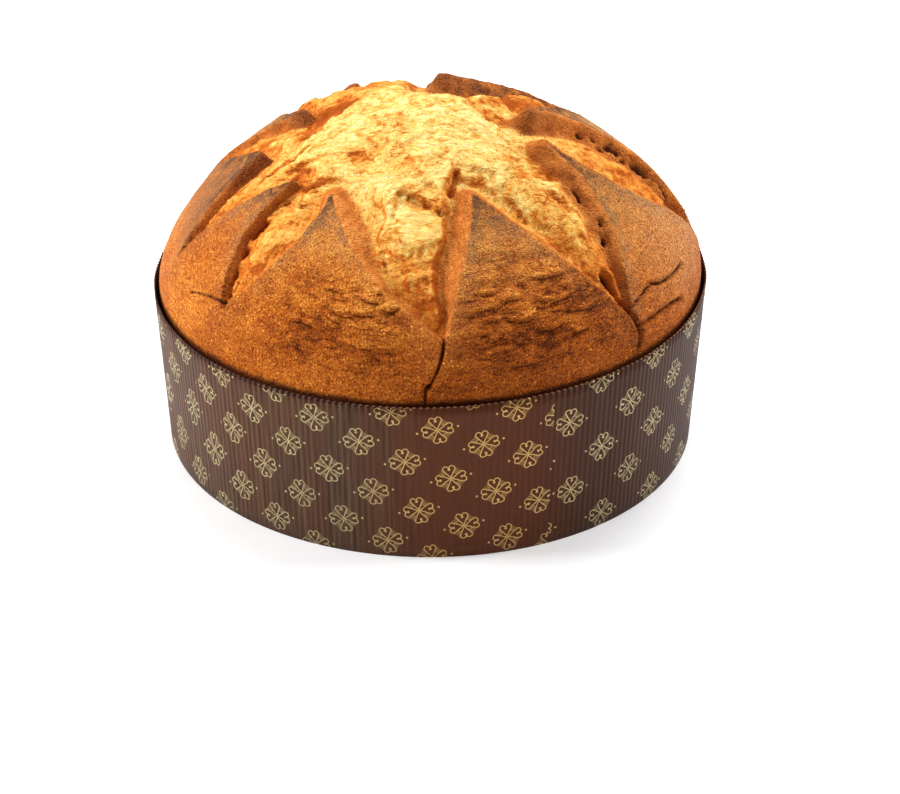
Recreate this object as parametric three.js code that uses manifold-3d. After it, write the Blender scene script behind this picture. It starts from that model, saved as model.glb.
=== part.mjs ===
// A low, wide panettone: a domed loaf whose crust is scored in a star, standing in the fluted paper
// case that it was baked in. Millimetres, +Z up. The origin is the centre of the case's flat base,
// and the side that the star's widest tears run down faces -Y.

import * as THREE from "three";
import { mergeVertices } from "three/addons/utils/BufferGeometryUtils.js";
import Module from "manifold-3d";

// The paper case
const RIM_RADIUS = 105;
const BASE_RADIUS = 101;
const WALL_HEIGHT = 65;
const WALL_THICKNESS = 1;
const FLOOR_THICKNESS = 1;
const FLUTES = 276;
const FLUTE_DEPTH = 0.5;
const CASE_BORE_SIDES = 96;
// The rim and the loaf stand a little higher on the +X side: this much for each millimetre of X.
const SLANT = 0.018;

// The loaf
const LOAF_GAP = 0.3;
const DOME_RADIUS = 102.8;
const DOME_HEIGHT = 70;
const DOME_FULLNESS = [1.25, 1.2];
const TUCK_DEPTH = 8;
const DOME_RINGS = 36;
const LOAF_SIDES = 124;
const SWELL = 0.9;
const RELIEF_START = 6;
const SAMPLE_RADIUS = 2.6;

// The scored star, seen from above, counter-clockwise from the front left. Each petal of crust has
// the tear on its clockwise side: the azimuth and radius where that tear ends, and how deep the
// crease is that runs on from there to the rim. Then come the petal's tip, how far its two sides
// bow into it, and how wide the baked wall under each side is.
const PETALS = [
  { tearEnd: [219.5, 97], crease: 1.2, tip: [231.5, 55.5], bows: [15, 5], walls: [3, 7] },
  { tearEnd: [272, 96], crease: 4.5, tip: [287, 52], bows: [12, 7], walls: [8, 4] },
  { tearEnd: [317.5, 99], crease: 3.5, tip: [340.5, 44.5], bows: [10, 17], walls: [9, 5] },
  { tearEnd: [4, 101], crease: 1.5, tip: [4, 36.5], bows: [34, 4], walls: [6, 5] },
  { tearEnd: [45, 97], crease: 2, tip: [68, 27], bows: [10, 8], walls: [7, 6] },
  { tearEnd: [92, 96], crease: 2.5, tip: [113, 60], bows: [8, 8], walls: [6, 5] },
  { tearEnd: [132, 96], crease: 2, tip: [155, 52], bows: [8, 6], walls: [5, 5] },
  { tearEnd: [158, 95], crease: 1.5, tip: [182, 62], bows: [-3, 8], walls: [4, 4] },
  { tearEnd: [194, 96], crease: 1, tip: [212.5, 57.5], bows: [3, 18], walls: [3, 5] },
];
const SIDE_STEPS = 9;
const LIP = 1.2;
const TIP_CURL = 3.2;
const TIP_REACH = 14;
const LIP_WIDTH = 9;
const TEAR_DEPTH = 5.5;
const CRUMB_RISE = 24;
const CREASE_WIDTH = 7;
// The pale middle of the crumb ends in a torn ledge above the front tear.
const LEDGE = { azimuth: [238, 285], radius: 54, drop: 2.6, run: 5 };

const rad = THREE.MathUtils.degToRad;
const step = THREE.MathUtils.smoothstep;

function fromPolar([azimuth, radius]) {
  return new THREE.Vector2(radius * Math.cos(rad(azimuth)), radius * Math.sin(rad(azimuth)));
}

function domeHeight(radius) {
  const share = Math.min(radius / DOME_RADIUS, 1);
  const across = share ** (2 / DOME_FULLNESS[0]);
  return WALL_HEIGHT + DOME_HEIGHT * Math.max(1 - across, 0) ** (DOME_FULLNESS[1] / 2);
}

function onDome(plan) {
  return new THREE.Vector3(plan.x, plan.y, domeHeight(plan.length()));
}

// The star's outline: every petal side is one quadratic curve between a tear's end and a tip.
function starSides() {
  return PETALS.flatMap((petal, i) => {
    const next = PETALS[(i + 1) % PETALS.length];
    const tip = fromPolar(petal.tip);
    const ends = [
      [fromPolar(petal.tearEnd), tip],
      [tip, fromPolar(next.tearEnd)],
    ];
    return ends.map(([from, to], side) => {
      const along = to.clone().sub(from).normalize();
      const outward = new THREE.Vector2(along.y, -along.x);
      const middle = from.clone().add(to).multiplyScalar(0.5);
      const control = middle.addScaledVector(outward, petal.bows[side]);
      const curve = new THREE.QuadraticBezierCurve(from, control, to);
      return { plan: curve.getPoints(SIDE_STEPS), tip, wall: petal.walls[side] };
    });
  });
}

const SIDES = starSides();
const STAR = SIDES.flatMap(({ plan }) => plan.slice(0, -1));
const SEGMENTS = SIDES.flatMap(({ plan, tip, wall }) =>
  plan.slice(1).map((end, i) => ({
    line: new THREE.Line3(onDome(plan[i]), onDome(end)),
    tip: onDome(tip),
    wall,
  })),
);
const CREASES = PETALS.map(({ tearEnd, crease }) => ({
  depth: crease,
  line: new THREE.Line3(
    onDome(fromPolar(tearEnd)),
    onDome(fromPolar([tearEnd[0], DOME_RADIUS])),
  ),
}));

function insideStar({ x, y }) {
  let inside = false;
  STAR.forEach((a, i) => {
    const b = STAR[(i + 1) % STAR.length];
    if (a.y > y !== b.y > y && x < ((b.x - a.x) * (y - a.y)) / (b.y - a.y) + a.x) inside = !inside;
  });
  return inside;
}

function distanceTo(line, point) {
  return line.closestPointToPoint(point, true, new THREE.Vector3()).distanceTo(point);
}

// How far the torn surface stands out of the plain dome at a point in plan.
function tornRelief(plan) {
  const point = onDome(plan);
  let nearest = SEGMENTS[0];
  let gap = Infinity;
  for (const segment of SEGMENTS) {
    const distance = distanceTo(segment.line, point);
    if (distance < gap) [gap, nearest] = [distance, segment];
  }
  const curl = TIP_CURL * Math.exp(-nearest.tip.distanceTo(point) / TIP_REACH);
  const lip = LIP + curl;
  let height = swell(plan);
  if (insideStar(plan)) {
    const down = step(gap, 0, nearest.wall);
    const back = step(gap, nearest.wall, nearest.wall + CRUMB_RISE);
    height += lip * (1 - down) - TEAR_DEPTH * down * (1 - back) - ledge(plan);
  } else {
    height += lip * Math.exp(-gap / LIP_WIDTH);
    for (const { line, depth } of CREASES) {
      height -= depth * Math.exp(-((distanceTo(line, point) / CREASE_WIDTH) ** 2));
    }
  }
  return height;
}

// The mean over a small disc, so that the facets follow the torn edges without catching on them.
function relief(plan) {
  const offsets = Array.from({ length: 6 }, (_, i) => fromPolar([60 * i, SAMPLE_RADIUS]));
  const around = offsets.map((offset) => tornRelief(offset.add(plan)));
  return (tornRelief(plan) + around.reduce((sum, height) => sum + height)) / 7;
}

function ledge(plan) {
  const azimuth = (THREE.MathUtils.radToDeg(Math.atan2(plan.y, plan.x)) + 360) % 360;
  const [from, to] = LEDGE.azimuth;
  const across = step(azimuth, from, from + 12) * (1 - step(azimuth, to - 8, to));
  const beyond = step(plan.length(), LEDGE.radius, LEDGE.radius + LEDGE.run);
  return LEDGE.drop * across * beyond * (1 - step(plan.length(), 80, 92));
}

// The loaf's gentle, uneven swelling, which dies out at the rim.
function swell(plan) {
  const azimuth = Math.atan2(plan.y, plan.x);
  const share = Math.min(plan.length() / DOME_RADIUS, 1);
  const waves = Math.sin(3 * azimuth + 0.6) + 0.7 * Math.sin(5 * azimuth + 2.1);
  return SWELL * waves * share * (1 - share ** 6) * 1.6;
}

function caseBore(height) {
  const share = height / WALL_HEIGHT;
  return THREE.MathUtils.lerp(BASE_RADIUS, RIM_RADIUS, share) - WALL_THICKNESS;
}

function slanted(x, z) {
  return z + SLANT * x * step(z, FLOOR_THICKNESS + LOAF_GAP + 1, WALL_HEIGHT);
}

function welded(geometry) {
  const bare = geometry.clone();
  bare.deleteAttribute("normal");
  bare.deleteAttribute("uv");
  return mergeVertices(bare, 1e-4);
}

function loafGeometry() {
  const low = FLOOR_THICKNESS + LOAF_GAP;
  const tuck = WALL_HEIGHT - TUCK_DEPTH;
  const profile = [
    new THREE.Vector2(0, low),
    new THREE.Vector2(caseBore(low) - LOAF_GAP - 4, low),
    new THREE.Vector2(caseBore(low + 4) - LOAF_GAP, low + 4),
    new THREE.Vector2(caseBore(tuck) - LOAF_GAP, tuck),
  ];
  for (let ring = 0; ring <= DOME_RINGS; ring += 1) {
    const turn = (Math.PI / 2) * (1 - ring / DOME_RINGS);
    const radius = DOME_RADIUS * Math.sin(turn) ** DOME_FULLNESS[0];
    profile.push(new THREE.Vector2(radius, domeHeight(radius)));
  }
  const geometry = welded(new THREE.LatheGeometry(profile, LOAF_SIDES).rotateX(Math.PI / 2));
  const position = geometry.getAttribute("position");
  const reach = 1e-2;
  for (let i = 0; i < position.count; i += 1) {
    const at = new THREE.Vector3().fromBufferAttribute(position, i);
    if (at.z > WALL_HEIGHT) {
      const plan = new THREE.Vector2(at.x, at.y);
      const radius = plan.length();
      const fall = (domeHeight(radius + reach) - domeHeight(Math.max(radius - reach, 0))) / (2 * reach);
      const outward = radius > reach ? plan.clone().normalize() : plan.clone();
      const normal = new THREE.Vector3(-fall * outward.x, -fall * outward.y, 1).normalize();
      at.addScaledVector(normal, relief(plan) * step(at.z, WALL_HEIGHT, WALL_HEIGHT + RELIEF_START));
    }
    position.setXYZ(i, at.x, at.y, slanted(at.x, at.z));
  }
  return geometry;
}

const wasm = await Module();
wasm.setup();

function toSolid(geometry) {
  const { index, attributes } = welded(geometry);
  return new wasm.Manifold(
    new wasm.Mesh({
      numProp: 3,
      vertProperties: attributes.position.array,
      triVerts: new Uint32Array(index.array),
    }),
  );
}

function toGeometry(solid) {
  const { vertProperties, triVerts } = solid.getMesh();
  const geometry = new THREE.BufferGeometry();
  geometry.setAttribute("position", new THREE.BufferAttribute(vertProperties, 3));
  geometry.setIndex(new THREE.BufferAttribute(triVerts, 1));
  geometry.computeVertexNormals();
  return geometry;
}

// A fluted blank, narrowed towards its base, with the space for the loaf cut out of it.
function caseGeometry() {
  const outline = new THREE.Shape();
  for (let i = 0; i < 2 * FLUTES; i += 1) {
    const radius = RIM_RADIUS - (i % 2) * FLUTE_DEPTH;
    const azimuth = (Math.PI * i) / FLUTES;
    const corner = [radius * Math.cos(azimuth), radius * Math.sin(azimuth)];
    if (i) outline.lineTo(...corner);
    else outline.moveTo(...corner);
  }
  outline.closePath();
  const blank = new THREE.ExtrudeGeometry(outline, { depth: WALL_HEIGHT, bevelEnabled: false });
  const position = blank.getAttribute("position");
  for (let i = 0; i < position.count; i += 1) {
    const z = position.getZ(i);
    const narrowing = THREE.MathUtils.lerp(BASE_RADIUS, RIM_RADIUS, z / WALL_HEIGHT) / RIM_RADIUS;
    const x = position.getX(i) * narrowing;
    position.setXYZ(i, x, position.getY(i) * narrowing, slanted(x, z));
  }
  const boreTop = WALL_HEIGHT + 10;
  const boreProfile = [
    new THREE.Vector2(0, FLOOR_THICKNESS),
    new THREE.Vector2(caseBore(FLOOR_THICKNESS), FLOOR_THICKNESS),
    new THREE.Vector2(caseBore(boreTop), boreTop),
    new THREE.Vector2(0, boreTop),
  ];
  const bore = new THREE.LatheGeometry(boreProfile, CASE_BORE_SIDES).rotateX(Math.PI / 2);
  return toGeometry(toSolid(blank).subtract(toSolid(bore)));
}

function piece(name, geometry, color, roughness) {
  const material = new THREE.MeshStandardMaterial({ color, roughness, metalness: 0 });
  const mesh = new THREE.Mesh(geometry, material);
  mesh.name = name;
  return mesh;
}

const panettone = new THREE.Group();
panettone.add(
  piece("loaf", loafGeometry(), 0xc07a35, 0.75),
  piece("paper_case", caseGeometry(), 0x54392b, 0.6),
);

export default panettone;
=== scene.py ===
"""A low, wide panettone in its fluted paper case: the looks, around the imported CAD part."""

import math

import bmesh
import bpy
import numpy as np
from mathutils import Euler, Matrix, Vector


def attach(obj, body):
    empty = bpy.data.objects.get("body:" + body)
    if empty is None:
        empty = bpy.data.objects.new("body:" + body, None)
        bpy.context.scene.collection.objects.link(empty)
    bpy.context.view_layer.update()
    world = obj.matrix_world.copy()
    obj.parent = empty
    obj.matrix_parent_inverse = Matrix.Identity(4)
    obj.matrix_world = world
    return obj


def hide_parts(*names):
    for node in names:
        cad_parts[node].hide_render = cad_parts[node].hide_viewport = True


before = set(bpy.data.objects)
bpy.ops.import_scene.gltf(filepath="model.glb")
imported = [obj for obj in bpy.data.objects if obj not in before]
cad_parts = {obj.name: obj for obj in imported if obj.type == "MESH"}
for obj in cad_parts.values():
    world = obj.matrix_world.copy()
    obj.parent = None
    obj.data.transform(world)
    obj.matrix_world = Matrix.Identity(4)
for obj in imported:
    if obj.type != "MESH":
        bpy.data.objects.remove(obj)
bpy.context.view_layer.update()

# Sizes are in millimetres, as in the part's source, and become metres in the meshes.
MM = 0.001
METRE = 1000.0

# The paper case
RIM_RADIUS = 105.0
BASE_RADIUS = 101.0
MEAN_RADIUS = (RIM_RADIUS + BASE_RADIUS) / 2
WALL_HEIGHT = 65.0
SLANT = 0.018
FLUTES = 276
FLUTE_COLUMNS = 6
FLUTE_DEPTH = 0.22
PAPER_THICKNESS = 0.45
WALL_ROWS = 14
CRIMP = 0.25
CRIMP_START = 0.985
UNEVENNESS = 0.35

# The loaf
DOME_RADIUS = 102.8
DOME_HEIGHT = 70.0
DOME_FULLNESS = (1.25, 1.2)
TUCK_DEPTH = 8.0
LOAF_GAP = 0.6
LOAF_CELLS = 296
SWELL = 1.44
RELIEF_START = 6.0
# Inside the case: the room left for its wall and floor, and the loaf's lower rings
CASE_WALL = 1.2
CASE_FLOOR = 1.3
WAIST_HEIGHT = 30.0
FLOOR_ROUNDING = 5.0
FLOOR_INSET = 6.0
# A distance in a field that is further than any mark reaches
FAR = 9.0
# Values of the loaf's fields below its rim, where they aren't 0
BELOW_THE_RIM = dict(inward=-20.0, wall_share=-20.0, crease_gap=FAR, hollow_gap=FAR, above_fold=FAR)

# The scored star, counter-clockwise from the front left. Each petal has the tear on its clockwise
# side: the azimuth and radius where that tear ends. Then come the petal's tip, how far its sides bow
# into it, how far the tip curls up, how burnt it is and how far from the tip that spreads, and for each
# side the width and depth of the baked wall, how far up the side it takes to reach that width, the
# width over which the crumb rises again beyond it, how far the lip leans over it and how dark its wall
# is made, partly scorched crust and partly painted shade under the lip.
PETALS = [
    dict(tear=(219.5, 97), tip=(231.5, 55.5), bows=(15, 18), curl=0.8, burnt=0.8, spread=28, wall=(2.5, 9),
         depth=(1.6, 2.0), taper=(30, 64), rise=(10, 12), lean=(0.2, 0.0), scorched=(0.1, 0.0)),
    dict(tear=(273.5, 95), tip=(287, 52), bows=(5, 7), curl=1.0, burnt=0.85, spread=34, wall=(8, 3.5),
         depth=(3.4, 2.0), taper=(22, 40), rise=(3, 10), lean=(0.0, 0.2), scorched=(0.0, 0.1)),
    dict(tear=(317.5, 99), tip=(340.5, 44.5), bows=(18, 28), curl=1.2, burnt=0.85, spread=66, wall=(8.5, 5),
         depth=(3.2, 3.2), taper=(34, 30), rise=(6, 30), lean=(0.6, 0.4), scorched=(0.22, 0.1)),
    dict(tear=(4, 101), tip=(4, 36.5), bows=(30, 4), curl=2.8, burnt=1.1, spread=80, wall=(8, 6),
         depth=(5.6, 4), taper=(24, 30), rise=(34, 9), lean=(0.8, 1.2), scorched=(0.12, 0.5)),
    dict(tear=(45, 97), tip=(80, 25), bows=(10, 8), curl=4.0, burnt=1.2, spread=50, wall=(10, 6),
         depth=(5.0, 3), taper=(30, 30), rise=(9, 10), lean=(1.6, 1.0), scorched=(0.55, 0.4)),
    dict(tear=(95, 96), tip=(118, 62), bows=(8, 8), curl=2.6, burnt=0.8, spread=30, wall=(5, 5),
         depth=(3, 3), taper=(30, 30), rise=(10, 10), lean=(1.0, 1.0), scorched=(0.3, 0.4)),
    dict(tear=(130, 96), tip=(158, 51), bows=(8, 3), curl=1.8, burnt=1.3, spread=30, wall=(4, 4),
         depth=(3, 2.4), taper=(30, 30), rise=(9, 10), lean=(0.8, 0.6), scorched=(0.3, 0.12)),
    dict(tear=(156, 94), tip=(182, 62), bows=(1, 8), curl=3.0, burnt=1.8, spread=30, wall=(2.5, 2.2),
         depth=(1.6, 2.8), taper=(30, 20), rise=(7, 12), lean=(0.4, 0.6), scorched=(0.15, 0.12)),
    dict(tear=(194, 96), tip=(212.5, 57.5), bows=(-4, 14), curl=1.8, burnt=1.05, spread=24, wall=(2, 1.6),
         depth=(1.4, 2.4), taper=(30, 20), rise=(6, 14), lean=(0.0, 0.5), scorched=(0.1, 0.12)),
]
SIDE_STEPS = 12
SIDE_BLEND = 1.5
LIP = 0.7
LIP_WIDTH = 8.0
TIP_REACH = 12.0
CRUMB_HUMP = 1.5

# The least width that the painted shade along a crease has
CREASE_DARK_WIDTH = 0.75
# Creases in the surface: a curve through three points in azimuth and radius, and its width and depth.
CREASES = [
    ([(273.4, 94), (272.4, 98.4), (270.2, 101.6)], 0.6, 1.8),
    ([(270.2, 101.6), (269.4, 102.4), (269.8, 106)], 0.8, 2.6),
    ([(316.4, 87.6), (317.8, 95), (318.4, 100.5)], 1.1, 3.4),
    ([(318.4, 100.5), (318.0, 101.8), (315.6, 105)], 0.8, 2.6),
    ([(318.7, 100.1), (326.0, 100.4), (336.5, 101.2)], 0.8, 2.0),
    ([(319.3, 97), (323.9, 96), (328.6, 95.1)], 0.7, 1.2),
    ([(328.6, 95.1), (334.5, 96.9), (343, 97.4)], 0.8, 1.8),
    ([(219.6, 90), (219.8, 93), (220.2, 96)], 0.7, 1.5),
    ([(206.6, 97.9), (212.5, 96.2), (219, 95.3)], 0.6, 0.45),
]
# Folds in the lower front of the crust: the azimuth and radius of each of the three points that a
# fold's curve goes through, and its height. The crust above a fold bulges over the crust below it.
FOLDS = [
    (281.7, 84.3, 284.2, 84.1, 286.7, 84.3, 0.6), (291.6, 82.4, 293.5, 83.1, 295.3, 82.4, 0.6),
    (295.4, 82.1, 300.8, 82.8, 306.7, 83.2, 1.2), (293.7, 87.5, 300.2, 89.1, 306.1, 89.0, 1.5),
    (294.4, 89.4, 296.8, 89.9, 299.6, 89.4, 1.0), (301.1, 91.8, 305.7, 92.9, 312.7, 93.6, 1.2),
    (286.2, 90.7, 291.1, 92.0, 294.9, 91.2, 1.3), (292.0, 93.9, 297.5, 94.9, 301.7, 93.5, 1.4),
    (282.7, 95.6, 285.4, 95.0, 288.1, 94.9, 0.8), (287.9, 96.3, 290.0, 96.4, 292.1, 96.3, 0.6),
    (300.6, 96.4, 303.8, 96.8, 306.6, 97.0, 0.7), (286.3, 100.0, 289.7, 100.1, 292.8, 99.8, 0.9),
    (307.8, 100.4, 309.7, 100.4, 311.5, 100.1, 0.5), (284.2, 94.3, 286.5, 93.8, 288.8, 93.8, 0.7),
    (280.3, 88.5, 283.3, 88.2, 287.1, 88.3, 0.6), (298.2, 91.2, 300.4, 91.5, 302.8, 91.3, 0.7),
    (294.6, 98.3, 296.5, 98.0, 298.2, 97.9, 0.4), (286.9, 86.9, 290.0, 86.5, 293.5, 86.6, 0.8),
    (281.0, 91.4, 284.3, 91.0, 286.7, 91.7, 0.5), (280.6, 79.7, 284.1, 80.8, 288.3, 80.7, 0.5),
    (282.0, 97.7, 285.1, 97.2, 288.1, 97.2, 0.5), (238.3, 93.3, 241.3, 93.2, 245.4, 93.6, 0.9),
    (236.8, 86.1, 240.2, 86.0, 244.5, 86.6, 0.6), (243.1, 84.2, 246.9, 84.1, 251.0, 84.8, 0.7),
    (246.9, 88.6, 250.2, 89.9, 254.0, 89.9, 1.1), (251.9, 88.8, 255.1, 89.3, 259.0, 88.9, 1.0),
    (246.0, 90.5, 248.4, 91.2, 250.4, 91.5, 0.8), (253.0, 84.8, 256.4, 85.7, 259.6, 85.9, 1.2),
    (256.7, 83.4, 260.0, 83.5, 264.2, 84.3, 0.9), (258.7, 86.7, 261.4, 87.5, 263.9, 86.5, 1.3),
    (245.6, 85.8, 248.7, 86.0, 252.4, 86.4, 0.7), (243.8, 88.5, 246.4, 88.7, 248.8, 89.3, 0.6),
    (247.6, 98.2, 249.8, 98.2, 252.2, 98.2, 0.4), (255.1, 96.1, 257.3, 96.2, 259.4, 96.0, 0.5),
    (254.0, 92.2, 256.3, 92.1, 258.5, 91.7, 0.5), (257.4, 90.3, 259.6, 90.2, 261.8, 89.5, 0.5),
    (260.4, 92.5, 262.4, 92.8, 264.7, 92.5, 0.5), (241.8, 96.1, 244.7, 96.2, 247.5, 96.1, 0.4),
]
# Valleys between layers of crumb, given like the creases
VALLEYS = [
    ([(285.5, 38), (282, 43.5), (278, 51)], 1.5, 3.4),
    ([(231, 48), (219, 54.5), (214.5, 68)], 0.9, 1.5),
    ([(194, 43), (197.5, 52), (195.5, 69)], 0.9, 1.8),
    ([(184, 38), (185, 42), (179, 50)], 1.0, 2.2),
    ([(20, 80), (6, 62), (352, 50)], 1.0, 1.2),
    ([(327, 80), (322, 70), (318, 56)], 1.2, 1.0),
    ([(262, 40), (210, 30), (160, 36)], 1.2, 0.8),
    ([(110, 50), (60, 36), (20, 36)], 2.0, 1.6),
]
# Ledges where a torn layer ends: the ground beyond the curve, on its right-hand side, lies lower.
# After the curve come the drop, the depth of the undercut and the run over which the ground rises again.
LEDGES = [
    ([(256, 49.5), (266.5, 51.2), (277, 58.5)], 1.9, 1.4, 20.0),
    ([(148, 31), (170, 33), (187, 43)], 3.6, 0.8, 26.0),
    ([(213, 57), (224, 49.5), (233, 48)], 0.9, 0.4, 7.0),
    ([(330, 58), (322, 52), (310, 50)], 0.9, 0.4, 8.0),
    ([(200, 60), (215, 40), (240, 33)], 0.9, 0.3, 9.0),
    ([(340, 26), (20, 12), (90, 14)], 1.8, 0.6, 16.0),
]
# Holes torn open in a wall or at its foot: the number of the star's side, the share along it, the
# distance in from it, and the hole's length along it, width and depth.
HOLLOWS = [
    (17, 0.42, 3.4, 8.0, 4.4, 4.5),
    (17, 0.62, 2.6, 4.0, 1.6, 2.5),
    (17, 0.85, 1.8, 8.0, 1.8, 3.0),
    (17, 0.14, 3.0, 8.0, 1.4, 2.0),
    (15, 0.57, 4.0, 6.0, 3.4, 4.0),
    (15, 0.44, 4.6, 6.0, 2.4, 3.5),
    (15, 0.30, 4.8, 5.0, 1.6, 2.5),
    (15, 0.72, 3.0, 7.0, 2.0, 3.0),
    (6, 0.47, 2.9, 12.0, 3.8, 3.5),
    (6, 0.30, 2.9, 12.0, 4.4, 4.0),
    (6, 0.17, 2.4, 8.0, 3.0, 3.0),
    (6, 0.60, 3.4, 6.0, 2.4, 2.5),
    (6, 0.69, 4.0, 5.0, 2.0, 2.0),
    (6, 0.39, 4.8, 4.0, 2.0, 2.5),
    (6, 0.54, 5.2, 4.0, 2.0, 2.5),
    (4, 0.66, 5.4, 9.0, 2.2, 2.2),
    (4, 0.47, 3.4, 4.0, 1.5, 1.6),
    (4, 0.36, 4.6, 7.0, 2.2, 2.2),
    (8, 0.55, 6.0, 10.0, 3.0, 4.0),
    (8, 0.78, 5.0, 8.0, 2.4, 3.0),
    (12, 0.40, 3.0, 9.0, 2.6, 3.0),
    (11, 0.50, 3.6, 10.0, 3.0, 3.5),
]

# The camera, as fitted to the case's rim and base
CAMERA_DISTANCE = 1200.0
CAMERA_ELEVATION = 30.07
CAMERA_TARGET = (7.7, 0.0, 8.7)
CAMERA_LENS = 123.2
CAMERA_ROLL = 0.12

# Where the softboxes point, in metres
LIGHT_AIM = (0.0, 0.0, 0.08)
FLOOR_HALF_WIDTH = 6.0
WHITE = (1.0, 1.0, 1.0, 1.0)


DRAW = np.random.default_rng(7)
SHUFFLED = DRAW.permutation(256)
GRADIENTS = DRAW.normal(size=(256, 3))
GRADIENTS /= np.linalg.norm(GRADIENTS, axis=1)[:, None]


def smooth(value, low, high):
    share = np.clip((value - low) / (high - low), 0.0, 1.0)
    return share * share * (3.0 - 2.0 * share)


def from_polar(azimuth, radius):
    turn = np.radians(azimuth)
    return np.stack([radius * np.cos(turn), radius * np.sin(turn)], axis=-1)


def curve_points(start, control, end, steps):
    along = np.linspace(0.0, 1.0, steps + 1)[:, None]
    return (1 - along) ** 2 * start + 2 * along * (1 - along) * control + along**2 * end


def dome_height(radius):
    share = np.clip(radius / DOME_RADIUS, 0.0, 1.0)
    across = share ** (2 / DOME_FULLNESS[0])
    return WALL_HEIGHT + DOME_HEIGHT * np.clip(1 - across, 0.0, 1.0) ** (DOME_FULLNESS[1] / 2)


def on_dome(plan):
    return np.column_stack([plan, dome_height(np.hypot(*plan.T))])


def dome_normals(plan):
    radius = np.hypot(*plan.T)
    reach = 0.05
    inner = np.clip(radius - reach, 0.0, DOME_RADIUS - reach)
    outer = np.clip(radius + reach, reach, DOME_RADIUS)
    fall = (dome_height(outer) - dome_height(inner)) / (outer - inner)
    outward = plan / np.maximum(radius, 1e-6)[:, None]
    normals = np.column_stack([-fall[:, None] * outward, np.ones(len(plan))])
    return normals / np.linalg.norm(normals, axis=1)[:, None]


def nearest_on_path(points, path):
    """For each point, the nearest place on a 3-D path: its distance, its share along, which side the
    point lies on, and the way from that place to the point."""
    best = np.full(len(points), np.inf)
    along = np.zeros(len(points))
    side = np.zeros(len(points))
    way = np.zeros_like(points)
    for i, (start, end) in enumerate(zip(path[:-1], path[1:])):
        span = end - start
        share = np.clip((points - start) @ span / (span @ span), 0.0, 1.0)
        away = points - (start + share[:, None] * span)
        distance = np.linalg.norm(away, axis=1)
        closer = distance < best
        best = np.where(closer, distance, best)
        along = np.where(closer, (i + share) / (len(path) - 1), along)
        turned = span[0] * away[:, 1] - span[1] * away[:, 0]
        side = np.where(closer, np.sign(turned), side)
        way[closer] = away[closer]
    return best, along, side, way


def star_sides():
    """Each side of each petal: its points in plan, from one end to the other, and its wall's sizes."""
    sides = []
    for i, petal in enumerate(PETALS):
        following = PETALS[(i + 1) % len(PETALS)]
        tip = from_polar(*petal["tip"])
        ends = [(from_polar(*petal["tear"]), tip), (tip, from_polar(*following["tear"]))]
        for which, (start, end) in enumerate(ends):
            run = (end - start) / np.linalg.norm(end - start)
            control = (start + end) / 2 + np.array([run[1], -run[0]]) * petal["bows"][which]
            side = dict(plan=curve_points(start, control, end, SIDE_STEPS), tip=tip)
            for key in ("curl", "burnt", "spread"):
                side[key] = petal[key]
            for key in ("wall", "depth", "taper", "rise", "lean", "scorched"):
                side[key] = petal[key][which]
            sides.append(side)
    return sides


def inside_outline(plan, outline):
    inside = np.zeros(len(plan), bool)
    x, y = plan.T
    for a, b in zip(outline, np.roll(outline, -1, axis=0)):
        spans = (a[1] > y) != (b[1] > y)
        if spans.any():
            crossing = (b[0] - a[0]) * (y - a[1]) / (b[1] - a[1]) + a[0]
            inside ^= spans & (x < crossing)
    return inside


def scattered_numbers(cells, seed):
    """A repeatable whole number from 0 to 255 for each cell of a 3-D lattice."""
    number = SHUFFLED[(cells[:, 0] + 31 * seed) & 255]
    number = SHUFFLED[(cells[:, 1] + number) & 255]
    return SHUFFLED[(cells[:, 2] + number) & 255]


def smooth_noise(points, seed):
    """Gradient noise of about -1 to 1 with one lump to each unit of distance."""
    cell = np.floor(points).astype(int)
    local = points - cell
    fade = local**3 * (local * (local * 6 - 15) + 10)
    total = np.zeros(len(points))
    for corner in np.ndindex(2, 2, 2):
        slope = GRADIENTS[scattered_numbers(cell + corner, seed)]
        weight = np.where(corner, fade, 1 - fade).prod(axis=1)
        total += weight * (slope * (local - corner)).sum(axis=1)
    return 1.5 * total


def rough(points, size, seed):
    """Smooth random heights of about -1 to 1 whose lumps are about `size` millimetres across."""
    return smooth_noise(points / size, seed)


def ridged(points, size, seed):
    """1 along winding crests about `size` millimetres apart, and lower between them."""
    return 1 - 2 * np.abs(rough(points, size, seed))


def pits(points, size, seed):
    """Distance to the nearest of many scattered points, in shares of `size` millimetres."""
    scaled = points / size
    cell = np.floor(scaled).astype(int)
    best = np.full(len(points), np.inf)
    for neighbour in np.ndindex(3, 3, 3):
        near = cell + np.array(neighbour) - 1
        centre = near + 0.5 + 0.45 * GRADIENTS[scattered_numbers(near, seed)]
        best = np.minimum(best, ((scaled - centre) ** 2).sum(axis=1))
    return np.sqrt(best)


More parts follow.
